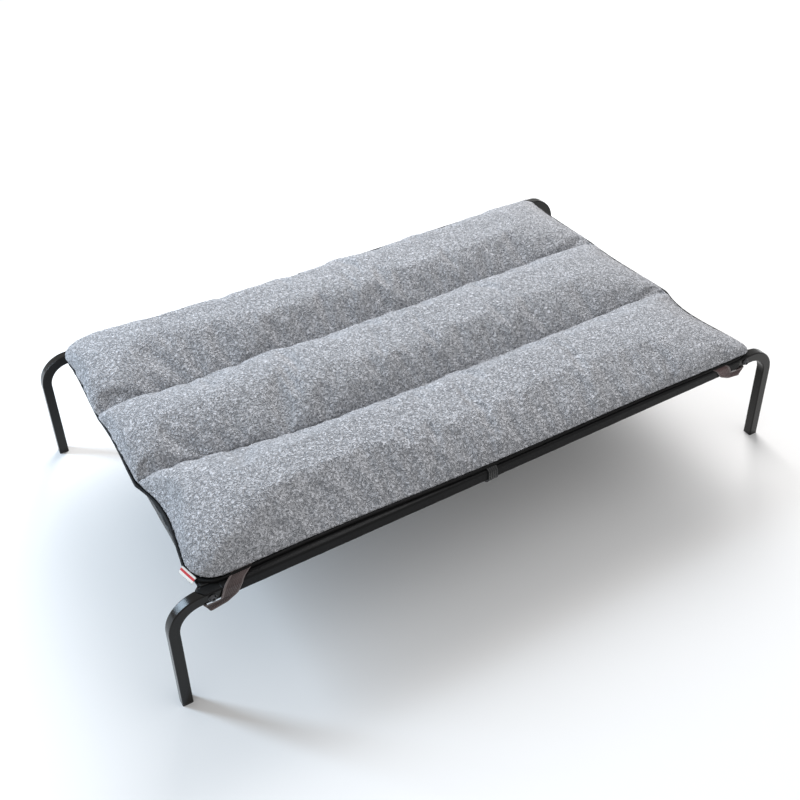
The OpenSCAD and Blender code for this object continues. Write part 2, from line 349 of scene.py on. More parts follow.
def covered(material, colour, height, strength, distance, rough=None):
    """Feeds a material's colour, its bump and, where one is given, its roughness."""
    tree = material.node_tree
    shader = tree.nodes["Principled BSDF"]
    tree.links.new(colour, shader.inputs["Base Color"])
    if rough is not None:
        tree.links.new(rough, shader.inputs["Roughness"])
    bump = node(tree, "Bump", {"Height": height, "Strength": strength, "Distance": distance})
    tree.links.new(bump.outputs["Normal"], shader.inputs["Normal"])
    return material


def fleece_material(pad):
    """Curly pile: pale worm-like curls over dark gaps, in tufts of slightly different shade; the
    darkness of the gaps and the tufts' shading are painted shade that follows the pile's height.
    """
    material, tree = new_material("fleece", 0.95, Sheen_Weight=0.3, Sheen_Roughness=0.45,
                                  Specular_IOR_Level=0.1)
    place = object_coordinates(tree)
    drift = node(tree, "TexNoise", {"Vector": place, "Scale": 0.6 / pad.curl, "Detail": 1.0})
    bend = vector_node(tree, "SUBTRACT", {0: drift.outputs["Color"], 1: (0.5, 0.5, 0.5)})
    bend = vector_node(tree, "SCALE", {0: bend, "Scale": 2.2 * pad.curl})
    warped = vector_node(tree, "ADD", {0: place, 1: bend})
    cells = node(tree, "TexVoronoi", {"Vector": warped, "Scale": 1.0 / pad.curl}, feature="F1")
    tufts = minus(tree, 1.0, times(tree, cells.outputs["Distance"], 1.2))
    curls = worm_lines(tree, warped, 0.92 / pad.curl, 4.6)
    height = plus(tree, times(tree, tufts, 0.28), times(tree, curls, 0.72))
    # Painted shade: the colour darkens from the curl tips into the gaps, following the pile's
    # height.
    shade_by_height = ramp(tree, height, [(0.08, 0.0), (0.38, 0.55), (0.74, 1.0)])
    broad = noise_value(tree, place, 7.0, 1.0)
    light = mix_colour(tree, broad, rgba(pad.light, 0.95), rgba(pad.light, 1.05))
    fleece = mix_colour(tree, shade_by_height, rgba(pad.gap_shade), light)
    return covered(material, fleece, height, 1.0, 0.0034)


def worm_lines(tree, vector, scale, sharpness):
    """Pale curling lines where a noise passes its middle value."""
    value = noise_value(tree, vector, scale, 0.0, 0.6)
    off = math_node(tree, "ABSOLUTE", minus(tree, value, 0.5))
    line = minus(tree, 1.0, times(tree, off, sharpness))
    return math_node(tree, "MAXIMUM", line, 0.0)


def woven_material(name, tint, thread=0.0011, roughness=0.6, sheen=0.02, shine=0.15):
    """Plain weave in the piece's own UV map, its thread crowns painted lighter as a painted
    highlight, with a little colour change over broad areas.
    """
    material, tree = new_material(name, roughness, Sheen_Weight=sheen, Sheen_Roughness=0.4,
                                  Specular_IOR_Level=shine)
    uv = node(tree, "TexCoord").outputs["UV"]
    weave = times(tree, waves(tree, uv, thread, "X"), waves(tree, uv, thread, "Y"))
    broad = noise_value(tree, object_coordinates(tree), 26.0, 3.0)
    worn = ramp(tree, broad, [(0.3, 0.0), (0.7, 1.0)])
    cloth = mix_colour(tree, worn, rgba(tint, 0.88), rgba(tint, 1.4))
    # Painted highlight: the crowns of the weave are painted lighter, up to 2.4 times the cloth's
    # colour.
    cloth = mix_colour(tree, times(tree, weave, 0.45), cloth, rgba(tint, 2.4))
    return covered(material, cloth, weave, 0.35, 0.0004)


def webbing_material(name, tint, edge_tint, width, ribs):
    """Lengthwise ribs with paler bound edges, the ribs' troughs painted darker and their crests
    lighter as painted shade and highlight. U runs across the webbing, in metres.
    """
    material, tree = new_material(name, 0.6, Sheen_Weight=0.4, Sheen_Roughness=0.35,
                                  Specular_IOR_Level=0.35)
    uv = node(tree, "TexCoord").outputs["UV"]
    across = node(tree, "SeparateXYZ", {0: uv}).outputs["X"]
    middle = math_node(tree, "ABSOLUTE", minus(tree, across, width / 2))
    edge = math_node(tree, "GREATER_THAN", middle, width * 0.445)
    rib = math_node(tree, "SINE", times(tree, across, 2 * math.pi * ribs / width))
    rib = times(tree, plus(tree, rib, 1.0), 0.5)
    height = plus(tree, rib, times(tree, waves(tree, uv, 0.0009, "Y"), 0.5))
    broad = noise_value(tree, object_coordinates(tree), 60.0, 3.0)
    # Painted shade and highlight: the ribs' troughs are painted darker and their crests lighter.
    body = mix_colour(tree, rib, rgba(tint, 0.35), rgba(tint, 1.8))
    body = mix_colour(tree, broad, body, rgba(tint, 1.1))
    return covered(material, mix_colour(tree, edge, body, rgba(edge_tint)), height, 0.5, 0.0005)


def tag_material(strap, width):
    """A plain white woven tag with one plain band along it."""
    material, tree = new_material("tag", 0.7, Sheen_Weight=0.2, Specular_IOR_Level=0.3)
    uv = node(tree, "TexCoord").outputs["UV"]
    across = node(tree, "SeparateXYZ", {0: uv}).outputs["X"]
    layer = math_node(tree, "FRACT", math_node(tree, "DIVIDE", across, width))
    off_centre = math_node(tree, "ABSOLUTE", minus(tree, layer, 0.5))
    band = math_node(tree, "LESS_THAN", off_centre, 0.17)
    tape = mix_colour(tree, band, rgba(strap.tag_tint), rgba(strap.band_tint))
    return covered(material, tape, waves(tree, uv, 0.0006, "Y"), 0.25, 0.0002)


def coat_material(settings):
    """Satin powder coat with a fine orange-peel skin and paler rubbed patches."""
    material, tree = new_material("frame_coat", settings.coat_gloss, Specular_IOR_Level=0.27)
    place = object_coordinates(tree)
    skin = noise_value(tree, place, 650.0, 2.0)
    patches = noise_value(tree, place, 16.0, 4.0)
    rubbed = ramp(tree, patches, [(0.35, 0.0), (0.75, 1.0)])
    shade = mix_colour(tree, rubbed, rgba(settings.coat), rgba(settings.coat, 1.6))
    rough = plus(tree, times(tree, patches, 0.16), settings.coat_gloss - 0.08)
    return covered(material, shade, skin, 0.12, 0.0004, rough)


def metal_material(name, tint, roughness, brush):
    """Plated or rolled metal with fine scratches."""
    material, tree = new_material(name, roughness, Metallic=1.0)
    place = object_coordinates(tree)
    scratch = noise_value(tree, place, brush, 3.0, 0.6)
    shade = mix_colour(tree, scratch, rgba(tint, 0.75), rgba(tint, 1.1))
    rough = plus(tree, times(tree, scratch, 0.25), roughness - 0.1)
    return covered(material, shade, scratch, 0.1, 0.0002, rough)


def plastic_material():
    """Moulded black plastic with a fine grain."""
    material, tree = new_material("foot_plastic", 0.58, Specular_IOR_Level=0.4)
    place = object_coordinates(tree)
    grain = node(tree, "TexVoronoi", {"Vector": place, "Scale": 900.0}).outputs["Distance"]
    shade = mix_colour(tree, grain, rgba((0.012, 0.012, 0.012)), rgba((0.028, 0.028, 0.027)))
    return covered(material, shade, grain, 0.25, 0.0003)


# ---- Pad ----

def rounded(x, y, half_x, half_y, radius):
    """Moves a point of a rectangle with square corners to the same one with round corners."""
    in_x = abs(x) - (half_x - radius)
    in_y = abs(y) - (half_y - radius)
    if in_x <= 0 or in_y <= 0:
        return x, y
    a = in_x / radius
    b = in_y / radius
    round_x = radius * a * math.sqrt(max(1 - b * b / 2, 0))
    round_y = radius * b * math.sqrt(max(1 - a * a / 2, 0))
    return math.copysign(half_x - radius + round_x, x), math.copysign(half_y - radius + round_y, y)


def smoothstep(low, high, x):
    t = min(max((x - low) / (high - low), 0.0), 1.0)
    return t * t * (3 - 2 * t)


class PadShape:
    """The pad's outline and channels, from the frame's own solids."""
    channels = 3
    corner = 0.040
    seam_gap = 0.3 * MM
    skew_run = (0.2, 0.5)
    rear_bow = 0.2
    bow_bias = 1.6

    def __init__(self, settings):
        low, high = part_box("pad_base")
        self.settings = settings
        self.half_x = (high.x - low.x) / 2
        self.half_y = (high.y - low.y) / 2
        self.bottom = low.z
        self.top = high.z
        self.pitch = 2 * self.half_y / self.channels

    def own_side(self, x, y, rest_y):
        """Keeps a filled channel from growing through its neighbour at a seam."""
        for flat in (-self.pitch / 2, self.pitch / 2):
            seam = self.skewed(x, flat)
            if rest_y > seam:
                y = max(y, seam + min(self.seam_gap, rest_y - seam))
            else:
                y = min(y, seam - min(self.seam_gap, seam - rest_y))
        return y

    def skewed(self, x, y):
        """The y that a flat point comes to, as the front seam runs back at its left end."""
        share = max(1 - abs(y + self.pitch / 2) / self.pitch, 0.0)
        return y + self.settings.skew * smoothstep(*self.skew_run, -x) * share

    def bow(self, y):
        """How far a sewn end is drawn in at y, most in the rear half of the front channel."""
        along = (y + self.half_y) / self.pitch
        depth = self.settings.end_bow * (1 if along < 1 else self.rear_bow)
        return depth * math.sin(math.pi * min(max(along % 1.0, 0.0), 1.0) ** self.bow_bias)

    def lean(self, x):
        """How far the front edge is pulled forward at x: back at the left, most at the right."""
        left, middle, right = -4 * MM, 8 * MM, 3 * MM
        return left + middle * smoothstep(-0.35, 0.0, x) + right * smoothstep(0.25, 0.45, x)

    def edge(self, x, y, out=0.0, corner=None):
        """The sewn outline: (x, y) of a flat rectangle's point, moved out by out."""
        half_x = self.half_x + out
        half_y = self.half_y + out
        x, y = rounded(x, y, half_x, half_y, (corner or self.corner) + out)
        end_share = smoothstep(0.75, 1.0, abs(x) / half_x)
        front_share = smoothstep(0.3, 1.0, -y / half_y)
        drawn_in = self.settings.drawn_in * smoothstep(-0.7, 0.5, y / half_y) if x > 0 else 0.0
        x -= (math.copysign(self.bow(y), x) + drawn_in) * end_share
        return x, self.skewed(x, y) - self.lean(x) * front_share


def filled_pad(shape, name):
    """The fleece cover: three channels, sewn down at the rim and along the two seams."""
    settings = shape.settings
    columns, end_columns, rows = 200, 16, 54
    left_fall, worn_fall, side_fall, side_bunch = 0.75, 1.15, 0.72, 0.9
    notch_width = 0.011
    unevenness = 0.05
    seam_z = shape.top + settings.seam_lift
    rise = settings.crown - settings.seam_lift - settings.swell * 0.45
    left = settings.end_round - shape.half_x
    right = shape.half_x - settings.worn_round

    def place(u, v):
        column = round(u * columns)
        from_end = min(column, columns - column)
        if from_end < end_columns:
            angle = (1 - from_end / end_columns) * math.pi / 2
            if column < columns / 2:
                x = left - settings.end_round * math.sin(angle)
                end_height = math.cos(angle) ** left_fall
            else:
                x = right + settings.worn_round * math.sin(angle)
                end_height = math.cos(angle) ** worn_fall
        else:
            x = left + (right - left) * (column - end_columns) / (columns - 2 * end_columns)
            end_height = 1.0
        row = round(v * rows * shape.channels)
        channel = min(row // rows, shape.channels - 1)
        angle = ((row - channel * rows) / rows - 0.5) * math.pi
        centre = (channel - 1) * shape.pitch
        y = centre + shape.pitch / 2 * math.copysign(abs(math.sin(angle)) ** side_bunch, angle)
        fall = abs(math.cos(angle)) ** side_fall * end_height
        from_seam = (abs(y) - shape.pitch / 2) / notch_width
        notch = settings.end_notch * math.exp(-from_seam ** 2)
        pull = smoothstep(0.82, 1.0, abs(x) / shape.half_x)
        corner = settings.cover_corner if x < 0 else settings.worn_corner
        flat_x, flat_y = shape.edge(x, y, corner=corner)
        flat_x -= math.copysign(notch * pull, x)
        wave = 1 + unevenness * noise.noise(Vector((x * 5.0, y * 9.0, 3.0))) * end_height
        wave -= settings.settle * (smoothstep(-0.33, 0.06, x) + 0.6 * smoothstep(0.15, 0.5, x))
        return Vector((flat_x, flat_y, seam_z + rise * fall * wave))

    pad = strip(name, columns, rows * shape.channels, place)
    held = []
    for vertex in pad.data.vertices:
        if vertex.co.z < seam_z + 1e-6:
            held.append(vertex.index)
    return pad, held


def inflate(piece, held, shape):
    """Fills the piece with air, holding its sewn points, and caps how far a point moves."""
    settings = shape.settings
    frames = 20
    start = [vertex.co.copy() for vertex in piece.data.vertices]
    group = piece.vertex_groups.new(name="sewn")
    group.add(held, 1.0, "REPLACE")
    make_active(piece)
    bpy.ops.object.modifier_add(type="CLOTH")
    cloth = piece.modifiers[-1]
    cloth.settings.vertex_group_mass = group.name
    cloth.settings.quality = 5
    cloth.settings.mass = 0.35
    cloth.settings.tension_stiffness = 12
    cloth.settings.compression_stiffness = 12
    cloth.settings.shear_stiffness = 6
    cloth.settings.bending_stiffness = 4
    cloth.settings.shrink_min = -0.02
    cloth.settings.use_pressure = True
    cloth.settings.uniform_pressure_force = 4
    cloth.settings.effector_weights.gravity = 0
    cloth.point_cache.frame_start = 1
    cloth.point_cache.frame_end = frames
    for step in range(1, frames + 1):
        bpy.context.scene.frame_set(step)
    bpy.ops.object.modifier_apply(modifier=cloth.name)
    bpy.context.scene.frame_set(1)
    for vertex, rest in zip(piece.data.vertices, start):
        move = vertex.co - rest
        if move.length > settings.swell:
            vertex.co = rest + move * (settings.swell / move.length)
        vertex.co.y = shape.own_side(rest.x, vertex.co.y, rest.y)
        front = smoothstep(0.75 * shape.half_y, shape.half_y, -vertex.co.y)
        lifted = smoothstep(shape.top, shape.top + 20 * MM, vertex.co.z)
        vertex.co.y -= settings.overhang * front * lifted * smoothstep(-0.3, 0.35, vertex.co.x)
        left = smoothstep(0.86 * shape.half_x, 0.98 * shape.half_x, -vertex.co.x)
        vertex.co.x -= settings.bulge * left * lifted * smoothstep(-0.06, 0.02, vertex.co.y)
    piece.vertex_groups.clear()


def close_bottom(piece):
    """Fills the open rim under the pad with one flat face."""
    open_mesh(piece)
    bpy.ops.mesh.select_mode(type="EDGE")
    bpy.ops.mesh.select_non_manifold()
    bpy.ops.mesh.edge_face_add()
    bpy.ops.object.mode_set(mode="OBJECT")


def raise_pile(piece, settings):
    """Lifts curls out of the surface, each point along its own normal."""
    lifts = []
    for vertex in piece.data.vertices:
        warp = noise.noise_vector(vertex.co * 110.0) * 0.002
        distances, _ = noise.voronoi((vertex.co + warp) / settings.curl)
        tuft = 1.0 - min(distances[0] * 1.4, 1.0)
        lifts.append(vertex.co + vertex.normal * settings.pile * (tuft - 0.35))
    for vertex, lifted in zip(piece.data.vertices, lifts):
        vertex.co = lifted


def outline_point(shape, t, out):
    """The point at t, from 0 to 1, once round the pad's sewn outline, moved out by out."""
    half_x = shape.half_x + out
    half_y = shape.half_y + out
    way = t * 4 * (half_x + half_y)
    if way < 2 * half_x:
        x, y = way - half_x, -half_y
    elif way < 2 * (half_x + half_y):
        x, y = half_x, way - 2 * half_x - half_y
    elif way < 2 * (2 * half_x + half_y):
        x, y = 3 * half_x + 2 * half_y - way, half_y
    else:
        x, y = -half_x, 4 * half_x + 3 * half_y - way
    return shape.edge(x, y, out)


class BED_OT_pad(bpy.types.Operator):
    """Make the quilted fleece pad and fill its three channels"""
    bl_idname = "bed.pad"
    bl_label = "Fleece pad"

    def execute(self, context):
        settings = context.scene.bed_pad
        shape = PadShape(settings)
        pad, held = filled_pad(shape, "fleece_pad")
        inflate(pad, held, shape)
        apply_modifier(pad, "SUBSURF", levels=1, render_levels=1)
        raise_pile(pad, settings)
        close_bottom(pad)
        finish_mesh(pad)
        declare(pad, ("pad_fleece", "front_filling", "middle_filling", "rear_filling"),
                fleece_material(settings))
        return {"FINISHED"}


class BED_OT_pad_base(bpy.types.Operator):
    """Make the pad's base cloth and the piping round its edge"""
    bl_idname = "bed.pad_base"
    bl_label = "Base cloth and piping"

    def execute(self, context):
        settings = context.scene.bed_pad
        shape = PadShape(settings)
        deck = context.scene.bed_deck
        cloth = woven_material("base_cloth", deck.base_tint)

        def lay(u, v):
            x, y = shape.edge((2 * u - 1) * shape.half_x, (2 * v - 1) * shape.half_y)
            z = (shape.bottom + shape.top) / 2
            return Vector((x, y, z))

        base = strip("pad_base_cloth", 180, 110, lay, 2 * shape.half_y, 2 * shape.half_x)
        thicken(base, shape.top - shape.bottom)
        finish_mesh(base)
        declare(base, ("pad_base",), cloth)

        low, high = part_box("pad_piping")
        radius = settings.piping / 2
        middle_z = (low.z + high.z) / 2
        out = high.x - shape.half_x - radius

        def roll(u, v):
            """A point of the cord: u once round it, v once along it."""
            turn = u * 2 * math.pi
            t = v % 1.0
            here = Vector(outline_point(shape, t, out))
            ahead = Vector(outline_point(shape, (t + 0.0005) % 1.0, out))
            along = (ahead - here).normalized()
            side = Vector((along.y, -along.x))
            gather = 1 + 0.09 * noise.noise(Vector((here.x, here.y, 0.5)) * 140.0)
            round_out = math.cos(turn) * radius * gather
            return Vector((here.x + side.x * round_out, here.y + side.y * round_out,
                           middle_z + math.sin(turn) * radius * gather))

        piping = strip("pad_piping_cord", 10, 900, roll)
        finish_mesh(piping, weld=0.02 * MM)
        surface = woven_material("piping", deck.base_tint, 0.0009, 0.55)
        declare(piping, ("pad_piping",), surface)
        return {"FINISHED"}


# ---- Deck ----

class BED_OT_deck(bpy.types.Operator):
    """Make the deck cloth and the sleeves sewn along its four sides"""
    bl_idname = "bed.deck"
    bl_label = "Deck cloth and sleeves"

    def execute(self, context):
        deck = context.scene.bed_deck
        cloth = woven_material("deck_cloth", deck.tint, 0.0013, 0.48, 0.01)
        glossy = woven_material("end_cloth", deck.tint, 0.0013, 0.40, 0.03, shine=0.4)
        self.panel(deck, cloth)
        for side, name in ((-1, "front"), (1, "rear")):
            self.side_sleeve(deck, cloth, side, name)
        for side, name in ((-1, "left"), (1, "right")):
            self.end_sleeve(deck, glossy, side, name)
        return {"FINISHED"}

    def panel(self, deck, cloth):
        low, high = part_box("deck_panel")
        size = high - low
        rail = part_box("right_cross_rail")[1].x
        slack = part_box("right_deck_sleeve")[1].x - rail

        def lay(u, v):
            x = low.x + u * size.x
            y = low.y + v * size.y
            z = (low.z + high.z) / 2
            near_end = 1 - smoothstep(0.0, 0.12, min(u, 1 - u))
            near_side = 1 - smoothstep(0.0, 0.10, min(v, 1 - v))
            inset = high.x - rail - slack * end_slack(y) + 1.2 * MM
            x -= math.copysign(inset * smoothstep(0.40, 0.495, abs(x)), x)
            sag = 0.0018 * (1 - near_side) * (1 - near_end)
            pulls = ripple(Vector((x * 0.4, y * 2.2, 0)), 0.05, deck.ripple) * (1 - near_end)
            return Vector((x, y, z - sag + pulls * (1 - near_side)))

        panel = strip("deck_cloth", 130, 84, lay, size.y, size.x)
        thicken(panel, deck.cloth)
        finish_mesh(panel)
        declare(panel, ("deck_panel",), cloth)

    def side_sleeve(self, deck, cloth, side, name):
        """Cloth round a side rail: closed between the cross rails, a flap on top beyond them."""
        node_name = name + "_deck_sleeve"
        low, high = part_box(node_name)
        outer = max(abs(low.y), abs(high.y))
        inner = min(abs(low.y), abs(high.y))
        centre_y = (outer + inner) / 2
        half = (outer - inner) / 2 - deck.cloth / 2
        centre_z = high.z - half - deck.cloth / 2
        corner = 2.6 * MM
        past_node = 2 * MM
        bolt_room = 5.7 * MM
        bend_radius = 66 * MM
        flap_half = high.x + past_node
        bend_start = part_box(name + "_right_rail")[1].x - bend_radius
        closed_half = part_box("right_cross_rail")[0].x - bolt_room
        around = 2 * (4 * half - 4 * corner) + 2 * math.pi * corner

        def section(s):
            """The point at s, from 0 to 1, once round the sleeve from the middle of its top."""
            way = s * around
            flat = half - corner
            arc = math.pi / 2 * corner
            legs = ((0, 1), (1, 0), (0, -1), (-1, 0))
            place = Vector((0.0, half))
            for turn in range(5):
                stretch = flat if turn in (0, 4) else 2 * flat
                out = Vector(legs[turn % 4])
                ahead = Vector((out.y, -out.x))
                if way <= stretch or turn == 4:
                    return place + ahead * min(way, stretch)
                way -= stretch
                place = place + ahead * stretch
                if way <= arc:
                    angle = way / corner
                    centre = place - out * corner
                    return (centre + out * corner * math.cos(angle)
                            + ahead * corner * math.sin(angle))
                way -= arc
                place = place - out * corner + ahead * corner

        def wrap(u, v, share, half_run):
            offset = section(share(u))
            near_end = smoothstep(closed_half, flap_half, abs(2 * v - 1) * half_run)
            cut = max(offset.x + 4 * MM, 0.0) * 0.75 * near_end
            x = (2 * v - 1) * (half_run - cut)
            drop = max(abs(x) - bend_start, 0.0) ** 2 / (2 * bend_radius)
            offset = offset - Vector((0.0, drop))
            point = Vector((x, side * (centre_y + offset.x), centre_z + offset.y))
            loose = 1 - smoothstep(0.0, 0.035, half_run - abs(x))
            height = deck.ripple * (0.35 + 0.9 * loose)
            drag = ripple(Vector((x * 1.3, offset.x, offset.y)), 0.018, height)
            out = Vector((0.0, side * offset.x, offset.y)).normalized()
            return point + out * (drag + 0.25 * MM)

        sleeve = strip(node_name.replace("deck", "side"), 44, 330,
                       lambda u, v: wrap(u, v, lambda s: s, closed_half), around, 2 * closed_half)
        thicken(sleeve, deck.cloth)
        flap_share = (half + 0.2 * MM) / around
        lap = (half + 4.5 * MM) / around
        whole = flap_share + lap
        flap = strip(name + "_flap", 14, 340,
                     lambda u, v: wrap(u, v, lambda s: (s * whole - lap) % 1.0, flap_half),
                     whole * around, 2 * flap_half)
        keep_ends(flap, closed_half)
        thicken(flap, deck.cloth)
        make_active(sleeve)
        flap.select_set(True)
        bpy.ops.object.join()
        finish_mesh(sleeve)
        declare(sleeve, (node_name,), cloth)

    def end_sleeve(self, deck, cloth, side, name):
        """A loose loop of cloth round a cross rail, with its hem hanging below the rail."""
        node_name = name + "_deck_sleeve"
        low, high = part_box(node_name)
        rail_low, rail_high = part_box(name + "_cross_rail")
        reach = max(abs(low.x), abs(high.x)) - deck.cloth / 2
        back = min(abs(low.x), abs(high.x))
        rail = (abs(rail_low.x) + abs(rail_high.x)) / 2
        rail_half = (rail_high.x - rail_low.x) / 2
        top = high.z - deck.cloth / 2
        bottom = low.z + deck.cloth / 2
        rail_bottom = rail_low.z
        inside, outside = (back, top), (reach, top)
        level, hem = (reach, rail_bottom), (rail, bottom)
        points = offsets((inside, 0, 0), ((rail, top), 0, 0), (outside, -2.5, 0),
                         (outside, 0, -3.5), (outside, -0.5, -8), (level, -5, 2),
                         (level, -13, -5), (hem, 3, 1.5), (hem, -1, 0), (hem, -5, 3),
                         ((rail - rail_half, rail_bottom), -2.5, -2),
                         ((back, rail_bottom), 2, 7), (inside, 0, -0.6))
        around = sum((b - a).length for a, b in zip(points, points[1:]))

        def hang(u, v):
            y = low.y + v * (high.y - low.y)
            place = smooth_path(points, u)
            below = smoothstep(top - 4 * MM, bottom, -place.y + top + bottom)
            outward = max(place.x - rail - rail_half, 0.0)
            tucked = 0.8 * smoothstep(0.265, 0.306, abs(y))
            x = place.x - outward * (1 - end_slack(y) * (1 - tucked))
            drawn_up = max(rail_bottom - 2 * MM - place.y, 0.0) * deck.hem_lift
            lift = drawn_up + below * 2.0 * MM * noise.noise(Vector((0.3 * side, y * 7.0, 0.0)))
            drag = ripple(Vector((place.x, y * 0.8, place.y)), 0.016, 1.1 * MM * below)
            return Vector((side * (x + drag), y, place.y + lift))

        sleeve = strip(name + "_end_sleeve", 60, 240, hang, around, high.y - low.y)
        thicken(sleeve, deck.cloth)
        finish_mesh(sleeve)
        declare(sleeve, (node_name,), cloth)


def end_slack(y):
    """Share of its slack that an end sleeve stands out by at y: most at its corners and middle."""
    middle, swing, half_wave = 0.31, 0.27, 0.155
    return middle + swing * math.cos(math.pi * y / half_wave)


def keep_ends(piece, half_run):
    """Cuts the middle out of a strip, leaving its two ends beyond half_run."""
    open_mesh(piece)
    bpy.ops.mesh.select_mode(type="FACE")
    bpy.ops.object.mode_set(mode="OBJECT")
    for face in piece.data.polygons:
        face.select = abs(face.center.x) < half_run
    bpy.ops.object.mode_set(mode="EDIT")
    bpy.ops.mesh.delete(type="FACE")
    bpy.ops.object.mode_set(mode="OBJECT")


# ---- Straps, ties and tag ----

def stops_along(left, right):
    """How far along a ribbon each pair of its edge points lies, from 0 to 1."""
    middles = [(a + b) / 2 for a, b in zip(left, right)]
    ways = [0.0]
    for a, b in zip(middles, middles[1:]):
        ways.append(ways[-1] + (b - a).length)
    return [way / ways[-1] for way in ways]


def taut_path(points, stops, t, soft):
    """The point at t on straight lines through the points, each fold rounded over soft."""
    samples = 7
    total = Vector((0.0, 0.0, 0.0))
    for i in range(samples):
        at = min(max(t + soft * (2 * i / (samples - 1) - 1), 0.0), 1.0)
        span = max(k for k in range(len(stops) - 1) if stops[k] <= at)
        share = (at - stops[span]) / (stops[span + 1] - stops[span])
        total += points[span].lerp(points[span + 1], share)
    return total / samples


def webbing(name, left, right, settings, material, nodes, mirror=(1, 1), ribs=0):
    """A ribbon between two edges that follow the points left and right, with lengthwise ribs."""
    width = (right[0] - left[0]).length
    run = sum((b - a).length for a, b in zip(left, left[1:]))
    flip = Vector((mirror[0], mirror[1], 1))
    columns = 36 if ribs else 8
    rows = max(int(run / (1.6 * MM)), 12)
    stops = stops_along(left, right)
    soft = 2.0 * MM / run
    step = 0.004

    def lay(u, v):
        a = taut_path(left, stops, v, soft)
        b = taut_path(right, stops, v, soft)
        ahead = taut_path(left, stops, v + step, soft) + taut_path(right, stops, v + step, soft)
        behind = taut_path(left, stops, v - step, soft) + taut_path(right, stops, v - step, soft)
        normal = (b - a).cross(ahead - behind)
        normal.normalize()
        rib = settings.rib * math.sin(2 * math.pi * ribs * u) if ribs else 0.0
        hem = settings.rib * 1.6 if abs(u - 0.5) > 0.45 else 0.0
        point = a.lerp(b, u) + normal * (rib + hem)
        return Vector((point.x * flip.x, point.y * flip.y, point.z))

    band = strip(name, columns, rows, lay, width, run)
    thicken(band, settings.thickness)
    finish_mesh(band)
    declare(band, nodes, material)
    return band


def slipped(points, slip):
    """Strap points moved towards the middle of the bed, less and less towards the frame's end."""
    last = len(points) - 1
    return [point - Vector((slip * (1 - (i / last) ** 2), 0, 0)) for i, point in enumerate(points)]


class BED_OT_straps(bpy.types.Operator):
    """Make the four corner straps and the two middle ties"""
    bl_idname = "bed.straps"
    bl_label = "Straps and ties"

    def execute(self, context):
        settings = context.scene.bed_strap
        self.corner_straps(settings)
        self.middle_ties(settings)
        return {"FINISHED"}

    def corner_straps(self, settings):
        sleeve_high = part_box("rear_deck_sleeve")[1]
        lift = settings.thickness / 2 + 0.35 * MM
        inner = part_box("rear_right_strap")[0].x
        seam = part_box("pad_piping")[1].y - 12 * MM
        top = sleeve_high.z + lift
        out = sleeve_high.y + lift
        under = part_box("right_cross_rail")[0].z
        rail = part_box("right_cross_rail")[1].x
        end = rail + 0.45 * (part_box("right_deck_sleeve")[1].x - rail) + lift
        at_seam = (inner, seam, top)
        on_rail = (inner, out, top)
        below = (inner, out, under)
        at_end = (end, out, under)
        left = offsets((at_seam, -20, 0, 3.4), (at_seam, -15, 7, 1.6), (on_rail, -2, -5, 0.3),
                       (on_rail, 4, 0, -2.5), (below, 13, 0.3, 1), (below, 30, -0.3, -9),
                       (below, 54, -1.5, -14.5), (below, 58, -24, -12), (below, 61, -42, -12),
                       (at_end, -8, -50, -12.5), (at_end, -10, -54, -12.5))
        right = offsets((at_seam, 11, 0, 3.4), (at_seam, 16, 7, 1.6), (on_rail, 27, -5, 0.3),
                        (on_rail, 32, 0, -2.5), (below, 38, 0.3, 1), (below, 42, 0.1, 0.5),
                        (below, 61, 0.2, 0.8), (below, 64, -18, -3.2), (at_end, -1, -26, -8),
                        (at_end, -4, -31, -11.5), (at_end, -6, -35, -12.5))
        width = (right[2] - left[2]).length
        for name, mirror in CORNERS.items():
            slip = settings.slip if mirror[0] > 0 else 0.0
            warm = 1.25 if mirror[0] > 0 else 1.0
            tint = (settings.tint[0] * warm, settings.tint[1], settings.tint[2] * 0.97)
            surface = webbing_material(name + "_webbing", tint, settings.edge_tint, width,
                                       settings.ribs)
            webbing(name + "_corner_strap", slipped(left, slip), slipped(right, slip), settings,
                    surface, (name + "_strap",), mirror, settings.ribs)

    def middle_ties(self, settings):
        width, ribs = 0.017, 5
        surface = webbing_material("tie_webbing", settings.tie_tint, settings.tie_tint, width, ribs)
        for name, side in (("front", -1), ("rear", 1)):
            low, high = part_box(name + "_middle_tie")
            sleeve_low, sleeve_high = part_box(name + "_deck_sleeve")
            outer = max(abs(sleeve_low.y), abs(sleeve_high.y))
            inner = min(abs(sleeve_low.y), abs(sleeve_high.y))
            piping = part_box("pad_piping")[1].y
            lift = settings.thickness / 2 + 0.7 * MM
            top = sleeve_high.z + lift
            bottom = sleeve_high.z - (outer - inner) - lift
            edge, below, back = (piping, top), (outer, bottom), (inner, bottom)
            route = offsets((edge, -5, 2.5), (edge, 1, 0.6), ((outer, top), -3, 0),
                            ((outer + lift, top), 0, -3), ((outer + lift, bottom), 0, 4),
                            (below, -1, -1), (below, -6, -5.5), (back, 4, -5), (back, 2, -1),
                            (back, 9, -0.6))
            left = [Vector((low.x, y, z)) for y, z in route]
            right = [Vector((high.x, y, z)) for y, z in route]
            webbing(name + "_tie", left, right, settings, surface,
                    (name + "_middle_tie",), (1, side), ribs)


